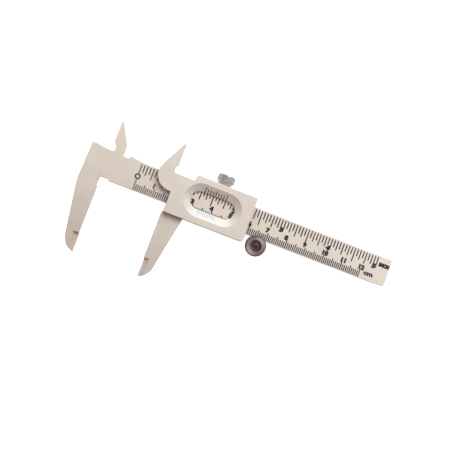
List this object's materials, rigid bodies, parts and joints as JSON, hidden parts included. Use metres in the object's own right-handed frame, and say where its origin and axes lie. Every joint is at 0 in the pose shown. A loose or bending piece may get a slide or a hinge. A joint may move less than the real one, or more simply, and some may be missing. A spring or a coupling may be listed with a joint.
{
  "type": "vernier caliper",
  "caption": "Plastic vernier caliper with outside and inside jaws, a windowed slider on a printed beam, a knurled metal lock screw and a thumb roller.",
  "frame": {"origin": "middle of the caliper's box, on the flat back of the slider that it lies on", "axes": "+X along the beam from the jaws to its free end, +Y across the beam towards the inside jaws, +Z out of the printed side"},
  "size_m": [0.161, 0.069, 0.0094],
  "materials": {
    "beam_plastic": "fine satin moulding, warm off-white",
    "slider_plastic": "fine satin moulding, warm off-white",
    "print_black": "black printed scale marks",
    "print_blue": "pale blue printed vernier marks",
    "nickel_plate": "nickel plated, turned and knurled",
    "roller_metal": "turned metal, slightly brown",
    "axle_steel": "dull riveted steel",
    "screw_steel": "zinc plated steel",
    "spring_steel": "blued spring steel",
    "brass": "turned brass"
  },
  "bodies": {
    "beam": {"beam": "beam_plastic"},
    "slider": {"slider_body": "slider_plastic", "back_cover": "slider_plastic", "cover_screw_1": "screw_steel", "cover_screw_2": "screw_steel", "cover_screw_3": "screw_steel", "cover_screw_4": "screw_steel", "gib_spring": "spring_steel", "lock_insert": "brass", "roller_axle": "axle_steel", "roller_washer": "spring_steel"},
    "lock_pad": {"lock_pad": "brass"},
    "lock_screw": {"lock_screw": "nickel_plate"},
    "roller": {"thumb_roller": "roller_metal"}
  },
  "joints": [
    {"name": "slider_slide", "type": "slide", "parent": "beam", "child": "slider", "axis": [1, 0, 0], "range_m": [-0.03315, 0.0868]},
    {"name": "lock_pad_feed", "type": "slide", "parent": "slider", "child": "lock_pad", "axis": [0, 1, 0], "range_m": [-0.0002, 0.0005]},
    {"name": "lock_screw_turn", "type": "hinge", "parent": "lock_pad", "child": "lock_screw", "pos_m": [-0.0129, 0.0239, 0.00465], "axis": [0, 1, 0], "range_deg": [-144, 360]},
    {"name": "roller_turn", "type": "hinge", "parent": "slider", "child": "roller", "pos_m": [0.01195, -0.00005, 0.005], "axis": [0, 0, 1], "continuous": true}
  ],
  "couplings": [
    {"joint": "lock_screw_turn", "follows": "lock_pad_feed", "rad_per_m": 12566},
    {"joint": "roller_turn", "follows": "slider_slide", "rad_per_m": 253.16}
  ]
}
